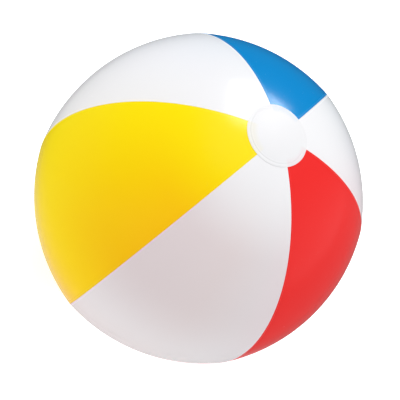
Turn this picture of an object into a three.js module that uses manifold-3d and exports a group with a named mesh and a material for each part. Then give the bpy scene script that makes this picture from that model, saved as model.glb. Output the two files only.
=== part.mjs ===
// Inflatable beach ball: six gores of vinyl film, a round cap over each pole, and a push-in valve.
//
// Millimetres. The origin is the ball's centre and +Z runs along its axis, from pole to pole.
// -Y is the middle of the yellow gore. +Y is the middle of the white gore that holds the valve.
// The valve is drawn pushed in, with its plug home and its flap shut, and its bore lies along Y.

import * as THREE from 'three';
import { mergeVertices } from 'three/addons/utils/BufferGeometryUtils.js';
import Module from 'manifold-3d';

const wasm = await Module();
wasm.setup();

// ---------------------------------------------------------------------------
// Driving dimensions
// ---------------------------------------------------------------------------

// The blown-up body
const GORE_LENGTH = 510; // a flat gore from pole to pole, which is the size such a ball is sold by
const SEAM_RADIUS = GORE_LENGTH / Math.PI; // centre to a seam, on the equator
const GORE_FLATNESS = 0.0141; // how far a gore's middle lies inside its seams, over the radius
const POLE_STRETCH = 1.0065; // pole height over the seam radius
const FILM = 0.2; // vinyl film
const FIN_DEPTH = 4; // the welded edge, which is turned inwards
const WELD_GAP = 0.3; // between two pieces that are welded or rest on each other
const POINT_RADIUS = 22.6; // the open ring that the six gore points leave at a pole

// The caps over the poles
const CAP_RADIUS = 29.8;
const CAP_FILM = 0.3;
const REST_RADIUS = 20; // the lower cap is pressed flat this far out, where the ball sits

// The valve, from its axis outwards
const BORE_RADIUS = 3.8;
const STEM_WALL = 1.6;
const STEM_LENGTH = 19.6;
const LIP_WIDTH = 1; // the lip around the stem's mouth
const LIP_HEIGHT = 1.2;
const COLLAR_WIDTH = 1.5; // the collar that the diaphragm holds
const COLLAR_HEIGHT = 1.4;
const DIAPHRAGM_WALL = 0.5;
const DIAPHRAGM_SPREAD = 6; // collar to flange, measured outwards
const DIAPHRAGM_DEPTH = 9.2; // collar to flange, measured along the bore
const FLANGE_WIDTH = 7.5;
const FLANGE_THICKNESS = 0.8;
const FLANGE_GAP = 0.6; // under the film, which is faceted here
const FLANGE_SHOW = 1.5; // how far the hole in the film stands back from the flange's inner edge

// The plug and its strap
const HEAD_OVERHANG = 0.2; // the plug's head past the stem's lip
const HEAD_THICKNESS = 1.8;
const HEAD_ROUND = 0.5;
const PIN_LENGTH = 5;
const PIN_TIP_RADIUS = 2.7;
const TAB_REACH = 2.2; // the finger tab past the head
const TAB_WIDTH = 5;
const TAB_THICKNESS = 0.9;
const STRAP_REACH = 3.6; // the head's edge to the middle of the strap's bend
const STRAP_WIDTH = 4;
const STRAP_THICKNESS = 0.8;

// The check flap
const FLAP_LAP = 0.9; // the flap past the bore
const FLAP_THICKNESS = 0.6;
const FLAP_HINGE_RISE = 0.5; // the flap's edge to its hinge line
const FLAP_HINGE_WIDTH = 3;

// Fineness of the facets
const GORE_COLUMNS = 10;
const GORE_ROWS = 24;
const CAP_SIDES = 48;
const CAP_RINGS = 5;
const VALVE_SIDES = 24;
const FLANGE_STEPS = 2;
const STRAP_BEND_SEGMENTS = 8;
const SAME_POINT = 1e-4; // points closer than this are one

// Colours and gloss
const YELLOW = 0xf8d414;
const RED = 0xee3f3e;
const BLUE = 0x1590d0;
const WHITE = 0xf4f4f6;
const VALVE_WHITE = 0xf1f1ef;
const FILM_ROUGHNESS = 0.3;
const VALVE_ROUGHNESS = 0.42;

// ---------------------------------------------------------------------------
// Sizes that follow from them
// ---------------------------------------------------------------------------

const GORE_ANGLE = Math.PI / 3;
const FACE_RADIUS = SEAM_RADIUS * (1 - GORE_FLATNESS); // centre to a gore's middle, on the equator
const CAP_ANGLE = Math.asin(CAP_RADIUS / SEAM_RADIUS);
const POINT_ANGLE = Math.asin(POINT_RADIUS / SEAM_RADIUS);

const STEM_RADIUS = BORE_RADIUS + STEM_WALL;
const LIP_RADIUS = STEM_RADIUS + LIP_WIDTH;
const COLLAR_RADIUS = STEM_RADIUS + COLLAR_WIDTH;
const DIAPHRAGM_INNER = COLLAR_RADIUS + WELD_GAP;
const DIAPHRAGM_OUTER = DIAPHRAGM_INNER + DIAPHRAGM_SPREAD;
const FLANGE_INNER = DIAPHRAGM_OUTER + WELD_GAP;
const HOLE_RADIUS = FLANGE_INNER + FLANGE_SHOW;

// Heights along the bore, from the ball's skin, with inwards negative. The stem's mouth is at 0.
const FLANGE_TOP = -FILM - FLANGE_GAP;
const DIAPHRAGM_LEVEL = FLANGE_TOP - FLANGE_THICKNESS / 2 - fall(FLANGE_INNER);
const COLLAR_LEVEL = DIAPHRAGM_LEVEL - DIAPHRAGM_DEPTH;
const HEAD_LEVEL = WELD_GAP;
const STRAP_UPPER = HEAD_LEVEL + STRAP_THICKNESS / 2;
const STRAP_LOWER = -LIP_HEIGHT - WELD_GAP - STRAP_THICKNESS / 2;
const STRAP_BEND = (STRAP_UPPER - STRAP_LOWER) / 2;

const HEAD_RADIUS = LIP_RADIUS + HEAD_OVERHANG;
const PIN_RADIUS = BORE_RADIUS - WELD_GAP;
const FLAP_RADIUS = BORE_RADIUS + FLAP_LAP;

// ---------------------------------------------------------------------------
// The ball's skin
// ---------------------------------------------------------------------------

/** How far the skin falls away from its level on the valve's axis, at a distance from that axis. */
function fall(distance) {
  return FACE_RADIUS - Math.sqrt(FACE_RADIUS ** 2 - distance ** 2);
}

/**
 * Distance from the centre to the skin. polar is measured from +Z, and turn from the gore's middle.
 * A gore is flatter than a sphere between its seams, so the seams stand as soft ridges.
 */
function reach(polar, turn) {
  const toMiddle = Math.abs(turn) / (GORE_ANGLE / 2);
  const sunk = GORE_FLATNESS * (1 - toMiddle ** 2) * Math.sin(polar) ** 2;
  return SEAM_RADIUS * (1 - sunk + (POLE_STRETCH - 1) * Math.cos(polar) ** 2);
}

/** A point of a gore whose middle lies along +X, at a depth under the skin. */
function onGore(polar, turn, depth) {
  const radius = reach(polar, turn) - depth;
  const out = radius * Math.sin(polar);
  return new THREE.Vector3(out * Math.cos(turn), out * Math.sin(turn), radius * Math.cos(polar));
}

/** The turn at which a gore's cut edge lies, a set distance clear of its seam's plane. */
function edgeTurn(polar, clear) {
  return GORE_ANGLE / 2 - Math.asin(clear / (SEAM_RADIUS * Math.sin(polar)));
}

/** Polar angles of a gore's rows: its point, the cap's edge, even steps, and the same again. */
function goreRows() {
  const steps = GORE_ROWS - 2;
  const between = (Math.PI - 2 * CAP_ANGLE) / steps;
  const middle = Array.from({ length: steps + 1 }, (_, row) => CAP_ANGLE + row * between);
  return [POINT_ANGLE, ...middle, Math.PI - POINT_ANGLE];
}

// ---------------------------------------------------------------------------
// Helpers
// ---------------------------------------------------------------------------

/** The geometry with only its positions, and one vertex where several meet. */
function welded(geometry) {
  const bare = geometry.clone();
  bare.deleteAttribute('normal');
  bare.deleteAttribute('uv');
  return mergeVertices(bare, SAME_POINT);
}

function solidOf(geometry) {
  const bare = welded(geometry);
  const vertProperties = new Float32Array(bare.attributes.position.array);
  const triVerts = new Uint32Array(bare.index.array);
  return new wasm.Manifold(new wasm.Mesh({ numProp: 3, vertProperties, triVerts }));
}

function geometryOf(solid) {
  const mesh = solid.getMesh();
  const geometry = new THREE.BufferGeometry();
  geometry.setAttribute('position', new THREE.BufferAttribute(mesh.vertProperties, 3));
  geometry.setIndex(new THREE.BufferAttribute(mesh.triVerts, 1));
  geometry.computeVertexNormals();
  return geometry;
}

function vinyl(color, roughness) {
  return new THREE.MeshStandardMaterial({ color, roughness, metalness: 0 });
}

function named(name, geometry, material) {
  const mesh = new THREE.Mesh(geometry, material);
  mesh.name = name;
  return mesh;
}

/** A ring or disc turned around Y, from [radius, height] pairs. */
function turned(profile, sides = VALVE_SIDES) {
  const points = profile.map(([radius, height]) => new THREE.Vector2(radius, height));
  return new THREE.LatheGeometry(points, sides);
}

/** The same, from a profile that is a closed loop off the axis. */
function turnedRing(profile) {
  return turned([...profile, profile[0]]);
}

// ---------------------------------------------------------------------------
// Gores
// ---------------------------------------------------------------------------

/**
 * One gore with its middle along +X: a thin box whose columns run across the ball from fin to fin.
 * The first and last columns are the fins, and the next are the creases where they turn inwards.
 */
function goreGeometry() {
  const rows = goreRows();
  const columns = GORE_COLUMNS + 2;
  const box = new THREE.BoxGeometry(columns, GORE_ROWS, 1, columns, GORE_ROWS, 1);
  const place = box.attributes.position;
  for (let i = 0; i < place.count; i++) {
    const column = Math.round(place.getX(i) + columns / 2);
    const row = Math.round(GORE_ROWS / 2 - place.getY(i));
    const inner = place.getZ(i) < 0;
    const at = gorePoint(column - columns / 2, rows[row], inner);
    place.setXYZ(i, at.x, at.y, at.z);
  }
  return box;
}

/** Where a grid point of a gore lies. column counts from the middle. */
function gorePoint(column, polar, inner) {
  const side = Math.sign(column);
  const across = Math.abs(column) / (GORE_COLUMNS / 2);
  const isEdge = across >= 1;
  const isFin = across > 1;
  const clear = WELD_GAP / 2 + (isEdge && inner ? FILM : 0);
  const turn = side * edgeTurn(polar, clear) * Math.min(across, 1);
  const depth = isFin ? FIN_DEPTH : inner ? FILM : 0;
  return onGore(polar, turn, depth);
}

/** The gore that holds the valve has a round hole in its middle. */
function drilledGoreGeometry() {
  const drill = new THREE.CylinderGeometry(HOLE_RADIUS, HOLE_RADIUS, FACE_RADIUS, 2 * VALVE_SIDES);
  drill.translate(0, FACE_RADIUS, 0);
  drill.rotateZ(-Math.PI / 2);
  return geometryOf(solidOf(goreGeometry()).subtract(solidOf(drill)));
}

function gore({ name, middle, color, drilled }) {
  const geometry = drilled ? drilledGoreGeometry() : goreGeometry();
  const mesh = named(name, geometry, vinyl(color, FILM_ROUGHNESS));
  mesh.rotation.z = THREE.MathUtils.degToRad(middle);
  return mesh;
}

// ---------------------------------------------------------------------------
// Caps
// ---------------------------------------------------------------------------

/** A cap turned around Y. Where flat is above 0 its middle is pressed flat out to that radius. */
function capGeometry(flat) {
  const base = SEAM_RADIUS + WELD_GAP;
  const flatAngle = Math.asin(flat / base);
  const ring = (angle, lift) => {
    const radius = reach(angle, GORE_ANGLE / 2) + WELD_GAP + lift;
    return [radius * Math.sin(angle), radius * Math.cos(angle)];
  };
  const angles = Array.from({ length: CAP_RINGS + 1 }, (_, step) => {
    return flatAngle + ((CAP_ANGLE - flatAngle) * step) / CAP_RINGS;
  });
  const outer = angles.map((angle) => ring(angle, CAP_FILM));
  const inner = angles.map((angle) => ring(angle, 0));
  const crown = flat > 0 ? [[0, outer[0][1]], ...outer] : outer;
  const under = flat > 0 ? [[0, inner[0][1]], ...inner] : inner;
  return turned([...under, ...crown.reverse()], CAP_SIDES);
}

function cap(name, flat, side) {
  const mesh = named(name, capGeometry(flat), vinyl(WHITE, FILM_ROUGHNESS));
  mesh.rotation.x = (side * Math.PI) / 2;
  return mesh;
}

// ---------------------------------------------------------------------------
// Valve. Heights run along Y, from the stem's mouth.
// ---------------------------------------------------------------------------

function flangeGeometry() {
  const steps = Array.from({ length: FLANGE_STEPS + 1 }, (_, step) => {
    return FLANGE_INNER + (FLANGE_WIDTH * step) / FLANGE_STEPS;
  });
  const top = steps.map((radius) => [radius, FLANGE_TOP - fall(radius)]);
  const bottom = top.map(([radius, height]) => [radius, height - FLANGE_THICKNESS]);
  return turnedRing([...bottom, ...top.reverse()]);
}

/** A funnel: it turns inside out when the stem is pulled. */
function diaphragmGeometry() {
  const half = DIAPHRAGM_WALL / 2;
  const low = COLLAR_LEVEL;
  const high = DIAPHRAGM_LEVEL;
  return turnedRing([
    [DIAPHRAGM_INNER, low - half],
    [DIAPHRAGM_OUTER, high - half],
    [DIAPHRAGM_OUTER, high + half],
    [DIAPHRAGM_INNER, low + half],
  ]);
}

function stemGeometry() {
  const collarTop = COLLAR_LEVEL + COLLAR_HEIGHT / 2;
  const collarFoot = COLLAR_LEVEL - COLLAR_HEIGHT / 2;
  return turnedRing([
    [BORE_RADIUS, -STEM_LENGTH],
    [STEM_RADIUS, -STEM_LENGTH],
    [STEM_RADIUS, collarFoot],
    [COLLAR_RADIUS, collarFoot],
    [COLLAR_RADIUS, collarTop],
    [STEM_RADIUS, collarTop],
    [STEM_RADIUS, -LIP_HEIGHT],
    [LIP_RADIUS, -LIP_HEIGHT],
    [LIP_RADIUS, 0],
    [BORE_RADIUS, 0],
  ]);
}

/** The plug: a head with a rounded rim, a tapered pin, and a tab to lift it by. */
function plugGeometry() {
  const top = HEAD_LEVEL + HEAD_THICKNESS;
  const body = turned([
    [0, -PIN_LENGTH],
    [PIN_TIP_RADIUS, -PIN_LENGTH],
    [PIN_RADIUS, 0],
    [PIN_RADIUS, HEAD_LEVEL],
    [HEAD_RADIUS, HEAD_LEVEL],
    [HEAD_RADIUS, top - HEAD_ROUND],
    [HEAD_RADIUS - HEAD_ROUND, top],
    [0, top],
  ]);
  const tabLength = HEAD_RADIUS + TAB_REACH - PIN_RADIUS;
  const tab = new THREE.BoxGeometry(TAB_WIDTH, TAB_THICKNESS, tabLength);
  tab.translate(0, HEAD_LEVEL + TAB_THICKNESS / 2, -PIN_RADIUS - tabLength / 2);
  return geometryOf(solidOf(body).add(solidOf(tab)));
}

/** The strap: from the head's edge outwards, round a bend, and back to the stem below the lip. */
function strapGeometry() {
  const half = STRAP_THICKNESS / 2;
  const bendAt = HEAD_RADIUS + STRAP_REACH;
  const level = STRAP_UPPER - STRAP_BEND;
  const outer = STRAP_BEND + half;
  const inner = STRAP_BEND - half;
  const right = Math.PI / 2;
  const outline = new THREE.Shape();
  outline.moveTo(HEAD_RADIUS + WELD_GAP, STRAP_UPPER + half);
  outline.lineTo(bendAt, STRAP_UPPER + half);
  outline.absarc(bendAt, level, outer, right, -right, true);
  outline.lineTo(STEM_RADIUS + WELD_GAP, STRAP_LOWER - half);
  outline.lineTo(STEM_RADIUS + WELD_GAP, STRAP_LOWER + half);
  outline.lineTo(bendAt, STRAP_LOWER + half);
  outline.absarc(bendAt, level, inner, -right, right, false);
  outline.lineTo(HEAD_RADIUS + WELD_GAP, STRAP_UPPER - half);
  outline.closePath();
  const strap = new THREE.ExtrudeGeometry(outline, {
    depth: STRAP_WIDTH,
    bevelEnabled: false,
    curveSegments: STRAP_BEND_SEGMENTS,
  });
  strap.translate(0, 0, -STRAP_WIDTH / 2);
  strap.rotateY(-right);
  return strap;
}

/** The flap under the stem, with a tab up to its hinge line. */
function flapGeometry() {
  const disc = new THREE.CylinderGeometry(FLAP_RADIUS, FLAP_RADIUS, FLAP_THICKNESS, VALVE_SIDES);
  const tabLength = FLAP_RADIUS + FLAP_HINGE_RISE - BORE_RADIUS;
  const tab = new THREE.BoxGeometry(FLAP_HINGE_WIDTH, FLAP_THICKNESS, tabLength);
  tab.translate(0, 0, BORE_RADIUS + tabLength / 2);
  const flap = geometryOf(solidOf(disc).add(solidOf(tab)));
  flap.translate(0, -STEM_LENGTH - WELD_GAP - FLAP_THICKNESS / 2, 0);
  return flap;
}

function valve() {
  const soft = vinyl(VALVE_WHITE, VALVE_ROUGHNESS);
  const group = new THREE.Group();
  group.add(
    named('valve_flange', flangeGeometry(), soft),
    named('valve_diaphragm', diaphragmGeometry(), soft),
    named('valve_stem', stemGeometry(), soft),
    named('valve_flap', flapGeometry(), soft),
    named('valve_plug', plugGeometry(), soft),
    named('plug_strap', strapGeometry(), soft),
  );
  group.position.y = FACE_RADIUS;
  return group;
}

// ---------------------------------------------------------------------------
// The ball
// ---------------------------------------------------------------------------

const GORES = [
  { name: 'panel_yellow', middle: -90, color: YELLOW },
  { name: 'panel_white_front', middle: -30, color: WHITE },
  { name: 'panel_red', middle: 30, color: RED },
  { name: 'panel_white_back', middle: 90, color: WHITE, drilled: true },
  { name: 'panel_blue', middle: 150, color: BLUE },
  { name: 'panel_white_left', middle: 210, color: WHITE },
];

const ball = new THREE.Group();
ball.add(...GORES.map(gore));
ball.add(cap('end_cap_top', 0, 1));
ball.add(cap('end_cap_bottom', REST_RADIUS, -1));
ball.add(valve());

export default ball;
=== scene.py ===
"""The look of a blown-up beach ball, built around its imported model.

Every length is in metres, in the frame of the model: the ball's centre is the origin, +Z runs from
pole to pole, -Y is the middle of the yellow gore, and the valve points along +Y.
"""

from __future__ import annotations

import logging
import math
from dataclasses import dataclass, replace
from enum import Enum
from functools import partial, reduce
from typing import Callable, Sequence, Union

import bmesh
import bpy
from mathutils import Matrix, Vector

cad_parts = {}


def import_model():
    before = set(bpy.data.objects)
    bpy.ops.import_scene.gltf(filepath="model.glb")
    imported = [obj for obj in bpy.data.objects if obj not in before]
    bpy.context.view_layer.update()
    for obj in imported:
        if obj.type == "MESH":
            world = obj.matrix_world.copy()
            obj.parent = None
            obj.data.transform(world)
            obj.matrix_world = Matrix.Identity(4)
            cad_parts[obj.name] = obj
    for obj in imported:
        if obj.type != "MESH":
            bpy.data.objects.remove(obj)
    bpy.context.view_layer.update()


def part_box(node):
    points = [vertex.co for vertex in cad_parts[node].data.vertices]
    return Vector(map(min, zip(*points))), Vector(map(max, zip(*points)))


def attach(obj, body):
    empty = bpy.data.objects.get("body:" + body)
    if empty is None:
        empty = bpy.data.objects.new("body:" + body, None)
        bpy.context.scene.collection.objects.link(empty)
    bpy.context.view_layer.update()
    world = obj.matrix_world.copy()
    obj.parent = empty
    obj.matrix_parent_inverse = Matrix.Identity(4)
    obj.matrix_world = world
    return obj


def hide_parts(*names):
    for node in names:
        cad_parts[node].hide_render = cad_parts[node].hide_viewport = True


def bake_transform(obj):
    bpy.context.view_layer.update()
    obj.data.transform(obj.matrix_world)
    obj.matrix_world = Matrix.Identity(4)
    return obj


Socket = bpy.types.NodeSocket
Object = bpy.types.Object
Colour = tuple[float, float, float]
Direction = tuple[float, float, float]
Value = Union[Socket, float, int, str, Sequence[float], bpy.types.Material, None]
Profile = list[tuple[float, float]]
Corners = Sequence[tuple[float, float, float]]
Relief = tuple[Socket, Socket, Socket]

MM = 0.001
FULL_TURN = 2 * math.pi

# Edges that turn more than this stay sharp.
SHARP_EDGE = math.radians(35)
# How many stretches a rounded corner has.
ROUNDING_STEPS = 5
# Where the gores' points end, from the ball's axis.
POINT_RADIUS = 22.6 * MM
# The hole in the gore that holds the valve.
HOLE_RADIUS = 15.0 * MM
# How far the floor lies under the ball, so that no two faces coincide.
FLOOR_GAP = 0.02 * MM

log = logging.getLogger("beach_ball")


class Body(Enum):
    """The rigid bodies that pieces ride on."""

    BALL = "ball"
    STEM = "stem"
    PLUG = "plug"
    FLAP = "flap"


class Slot(Enum):
    """The material slots of the record."""

    YELLOW = "yellow_vinyl"
    RED = "red_vinyl"
    BLUE = "blue_vinyl"
    WHITE = "white_vinyl"
    CAP = "cap_vinyl"
    VALVE = "valve_vinyl"


# ---------------------------------------------------------------------------
# Node trees
# ---------------------------------------------------------------------------


class Graph:
    """Adds nodes to one node tree and joins them."""

    def __init__(self, tree: bpy.types.NodeTree) -> None:
        """Keeps the tree that nodes are added to.

        Args:
            tree: A shader or geometry node tree.
        """
        self.tree = tree

    def feed(self, socket: Socket, value: Value) -> None:
        """Links a socket to an input, or sets the input's own value.

        Args:
            socket: The input.
            value: Another node's output, or a plain value. None leaves the input alone.
        """
        if isinstance(value, bpy.types.NodeSocket):
            self.tree.links.new(value, socket)
        elif value is not None:
            if socket.type == "RGBA" and len(value) == 3:
                value = (*value, 1.0)
            socket.default_value = value

    def node(
        self, kind: str, inputs: dict[Union[str, int], Value] | None = None, **settings: object
    ) -> bpy.types.Node:
        """Adds a node.

        Args:
            kind: The node's type.
            inputs: What its inputs get, by name or place.
            settings: The node's own properties.

        Returns:
            The node.
        """
        node = self.tree.nodes.new(kind)
        for name, value in settings.items():
            setattr(node, name, value)
        for key, value in (inputs or {}).items():
            self.feed(node.inputs[key], value)
        return node

    def effect(self, group: Group, **values: Value) -> bpy.types.NodeOutputs:
        """Places a shader group with values of its own.

        Args:
            group: The group.
            values: Its inputs, by name with underscores for spaces.

        Returns:
            The group's outputs.
        """
        inputs = {name.replace("_", " "): value for name, value in values.items()}
        node = self.node("ShaderNodeGroup", node_tree=group.tree)
        for name, value in inputs.items():
            self.feed(node.inputs[name], value)
        return node.outputs

    def maths(self, operation: str, *values: Value, clamp: bool = False) -> Socket:
        """Adds a maths node.

        Args:
            operation: What it works out, such as MULTIPLY.
            values: Its inputs, in order.
            clamp: Whether its result is kept from 0 to 1.

        Returns:
            Its result.
        """
        inputs = dict(enumerate(values))
        return self.node("ShaderNodeMath", inputs, operation=operation, use_clamp=clamp).outputs[0]

    def add(self, *values: Value) -> Socket:
        """The sum of two or more values."""
        return reduce(partial(self.maths, "ADD"), values)

    def times(self, *values: Value) -> Socket:
        """The product of two or more values."""
        return reduce(partial(self.maths, "MULTIPLY"), values)

    def less(self, a: Value, b: Value) -> Socket:
        """The first value less the second."""
        return self.maths("SUBTRACT", a, b)

    def over(self, a: Value, b: Value) -> Socket:
        """The first value over the second."""
        return self.maths("DIVIDE", a, b)

    def squared(self, a: Value) -> Socket:
        """A value times itself."""
        return self.maths("MULTIPLY", a, a)

    def step(self, value: Value, low: Value, high: Value) -> Socket:
        """A smooth step from 0 at low to 1 at high."""
        inputs = {"Value": value, "From Min": low, "From Max": high}
        return self.node("ShaderNodeMapRange", inputs, interpolation_type="SMOOTHSTEP").outputs[0]

    def fade(self, value: Value, low: Value, high: Value) -> Socket:
        """A smooth step from 1 at low to 0 at high."""
        return self.less(1.0, self.step(value, low, high))

    def mix(self, factor: Value, a: Value, b: Value, how: str = "MIX") -> Socket:
        """Mixes two colours.

        Args:
            factor: How much of the second there is.
            a: The first colour.
            b: The second colour.
            how: How they mix.

        Returns:
            The mixed colour.
        """
        inputs = {0: factor, 6: a, 7: b}
        return self.node("ShaderNodeMix", inputs, data_type="RGBA", blend_type=how).outputs[2]

    def noise(self, vector: Value, scale: Value, detail: float = 2.0, rough: float = 0.5) -> Socket:
        """Plain noise around 0.5."""
        inputs = {"Vector": vector, "Scale": scale, "Detail": detail, "Roughness": rough}
        return self.node("ShaderNodeTexNoise", inputs).outputs[0]

    def patches(self, where: Value, pattern: Pattern) -> Socket:
        """A mask of soft patches, from 0 between them to 1 on them."""
        noise = self.noise(where, pattern.scale, pattern.detail)
        return self.step(noise, pattern.low, pattern.high)

    def parts(self, vector: Value) -> tuple[Socket, Socket, Socket]:
        """A vector's x, y and z."""
        outputs = self.node("ShaderNodeSeparateXYZ", {0: vector}).outputs
        return outputs[0], outputs[1], outputs[2]

    def vector(self, x: Value, y: Value, z: Value) -> Socket:
        """A vector from its x, y and z."""
        return self.node("ShaderNodeCombineXYZ", {0: x, 1: y, 2: z}).outputs[0]

    def reach(self, vector: Value, direction: Value) -> Socket:
        """How far a vector reaches in a direction."""
        inputs = {0: vector, 1: direction}
        return self.node("ShaderNodeVectorMath", inputs, operation="DOT_PRODUCT").outputs["Value"]

    def length(self, vector: Value) -> Socket:
        """A vector's length."""
        return self.node("ShaderNodeVectorMath", {0: vector}, operation="LENGTH").outputs["Value"]

    def place(self) -> Socket:
        """Where a shaded point lies, in the object's own coordinates."""
        return self.node("ShaderNodeTexCoord").outputs["Object"]

    def bump(self, shader: bpy.types.NodeInputs, height: Socket) -> None:
        """Feeds a height in metres to a shader's normal."""
        node = self.node("ShaderNodeBump", {"Strength": 1.0, "Distance": 1.0, "Height": height})
        self.feed(shader["Normal"], node.outputs["Normal"])


SOCKET_TYPES = {
    float: "NodeSocketFloat",
    int: "NodeSocketInt",
    tuple: "NodeSocketColor",
    bpy.types.Material: "NodeSocketMaterial",
}


class Output(Enum):
    """What a group can put out."""

    VALUE = "NodeSocketFloat"
    COLOUR = "NodeSocketColor"
    GEOMETRY = "NodeSocketGeometry"


class Group(Graph):
    """A node group with named inputs and outputs."""

    def __init__(
        self,
        name: str,
        inputs: dict[str, Union[float, int, Colour, bpy.types.Material]],
        outputs: dict[str, Output],
        kind: str = "ShaderNodeTree",
    ) -> None:
        """Makes the group and its sockets.

        Args:
            name: The group's name.
            inputs: Each input's name and its default.
            outputs: Each output's name and what it is.
            kind: ShaderNodeTree or GeometryNodeTree.
        """
        super().__init__(bpy.data.node_groups.new(name, kind))
        sockets = self.tree.interface
        for key, default in inputs.items():
            kind_of = SOCKET_TYPES[type(default)]
            socket = sockets.new_socket(name=key, in_out="INPUT", socket_type=kind_of)
            socket.default_value = (*default, 1.0) if isinstance(default, tuple) else default
        for key, output in outputs.items():
            sockets.new_socket(name=key, in_out="OUTPUT", socket_type=output.value)
        self.given = self.node("NodeGroupInput").outputs
        self.result = self.node("NodeGroupOutput").inputs

    def put_out(self, name: str, value: Socket) -> None:
        """Feeds one of the group's outputs."""
        self.feed(self.result[name], value)

    def identifier(self, name: str) -> str:
        """The identifier of a named input, which a modifier is set by."""
        items = self.tree.interface.items_tree
        return next(item.identifier for item in items if item.name == name and item.in_out == "INPUT")


# ---------------------------------------------------------------------------
# Meshes
# ---------------------------------------------------------------------------


def new_piece(name: str, mesh: bpy.types.Mesh) -> Object:
    """Puts a mesh in the scene as an object at the origin.

    Args:
        name: The object's name.
        mesh: Its mesh.

    Returns:
        The object.
    """
    piece = bpy.data.objects.new(name, mesh)
    bpy.context.scene.collection.objects.link(piece)
    return piece


def baked(piece: Object) -> Object:
    """Applies a piece's modifiers.

    Args:
        piece: The piece, which is removed.

    Returns:
        A plain piece with its name and shape.
    """
    name = piece.name
    depsgraph = bpy.context.evaluated_depsgraph_get()
    shaped = piece.evaluated_get(depsgraph)
    mesh = bpy.data.meshes.new_from_object(shaped, preserve_all_data_layers=True, depsgraph=depsgraph)
    bpy.data.objects.remove(piece)
    mesh.name = name
    return new_piece(name, mesh)


def spaced(start: float, end: float, steps: int) -> list[float]:
    """Evenly spaced values, with both ends."""
    return [start + (end - start) * i / steps for i in range(steps + 1)]


def rounded(corners: Corners, closed: bool = True) -> Profile:
    """An outline whose corners are rounded.

    Args:
        corners: Each corner's radius from the axis, its height, and how much is rounded off.
        closed: Whether the last corner joins the first.

    Returns:
        The outline's points.
    """
    outline: Profile = []
    count = len(corners)
    for i, (radius, height, cut) in enumerate(corners):
        at = Vector((radius, height))
        if cut <= 0 or (not closed and i in (0, count - 1)):
            outline.append((at.x, at.y))
            continue
        back = Vector(corners[i - 1][:2]) - at
        ahead = Vector(corners[(i + 1) % count][:2]) - at
        start = at + back.normalized() * min(cut, back.length / 2)
        end = at + ahead.normalized() * min(cut, ahead.length / 2)
        for t in spaced(0.0, 1.0, ROUNDING_STEPS):
            point = start * (1 - t) ** 2 + at * (2 * t * (1 - t)) + end * t**2
            outline.append((point.x, point.y))
    return outline


@dataclass(frozen=True)
class Axis:
    """A line that pieces are turned around."""

    origin: Vector
    along: Vector

    def point(self, radius: float, height: float, angle: float) -> Vector:
        """A point placed by the axis.

        Args:
            radius: Its distance from the axis.
            height: Its height along the axis.
            angle: Its angle around the axis.

        Returns:
            The point.
        """
        side = Vector((1.0, 0.0, 0.0))
        up = self.along.cross(side)
        out = side * math.cos(angle) + up * math.sin(angle)
        return self.origin + out * radius + self.along * height


def finished(name: str, built: bmesh.types.BMesh) -> Object:
    """Welds a shell, points its faces outwards and keeps it as a piece.

    Args:
        name: The piece's name.
        built: The shell, which is freed.

    Returns:
        The piece.
    """
    bmesh.ops.remove_doubles(built, verts=built.verts, dist=1e-7)
    bmesh.ops.dissolve_degenerate(built, dist=1e-8, edges=built.edges)
    bmesh.ops.recalc_face_normals(built, faces=built.faces)
    mesh = bpy.data.meshes.new(name)
    built.to_mesh(mesh)
    built.free()
    mesh.shade_smooth()
    mesh.set_sharp_from_angle(angle=SHARP_EDGE)
    return new_piece(name, mesh)


def turned(name: str, profile: Profile, axis: Axis, closed: bool, sides: int = 96) -> Object:
    """A solid of revolution.

    Args:
        name: The piece's name.
        profile: Radius and height of each point. An open one starts and ends on the axis.
        axis: What it is turned around.
        closed: Whether the profile is a loop off the axis.
        sides: How many steps the turn has.

    Returns:
        The piece, smooth where its faces nearly agree.
    """
    built = bmesh.new()
    rings = []
    for step in range(sides):
        angle = FULL_TURN * step / sides
        rings.append([built.verts.new(axis.point(radius, height, angle)) for radius, height in profile])
    last = len(profile) if closed else len(profile) - 1
    for step in range(sides):
        here, there = rings[step], rings[(step + 1) % sides]
        for i in range(last):
            j = (i + 1) % len(profile)
            built.faces.new((here[i], here[j], there[j], there[i]))
    return finished(name, built)


def swept(name: str, path: Sequence[Vector], across: Vector, width: float, thickness: float) -> Object:
    """A flat strap along a path, with rounded edges.

    Args:
        name: The piece's name.
        path: The middle of the strap.
        across: The direction of its width.
        width: Its width.
        thickness: Its thickness.

    Returns:
        The piece, closed at both ends.
    """
    half, bulge = width / 2, thickness / 2
    section = [
        (side * (half - bulge + bulge * math.sin(angle)), bulge * math.cos(angle))
        for side, angles in ((1, range(0, 181, 30)), (-1, range(180, -1, -30)))
        for angle in map(math.radians, angles)
    ]
    built = bmesh.new()
    rings = []
    for i, at in enumerate(path):
        ahead = path[min(i + 1, len(path) - 1)] - path[max(i - 1, 0)]
        lift = across.cross(ahead).normalized()
        rings.append([built.verts.new(at + across * x + lift * y) for x, y in section])
    for here, there in zip(rings, rings[1:]):
        for i in range(len(section)):
            j = (i + 1) % len(section)
            built.faces.new((here[i], here[j], there[j], there[i]))
    built.faces.new(rings[0])
    built.faces.new(rings[-1])
    return finished(name, built)


def joined(name: str, pieces: Sequence[Object]) -> Object:
    """One piece of several closed shells.

    Args:
        name: The new piece's name.
        pieces: The shells, which are removed.

    Returns:
        The piece that holds them all.
    """
    built = bmesh.new()
    for piece in pieces:
        built.from_mesh(piece.data)
        bpy.data.objects.remove(piece)
    return finished(name, built)


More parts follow.
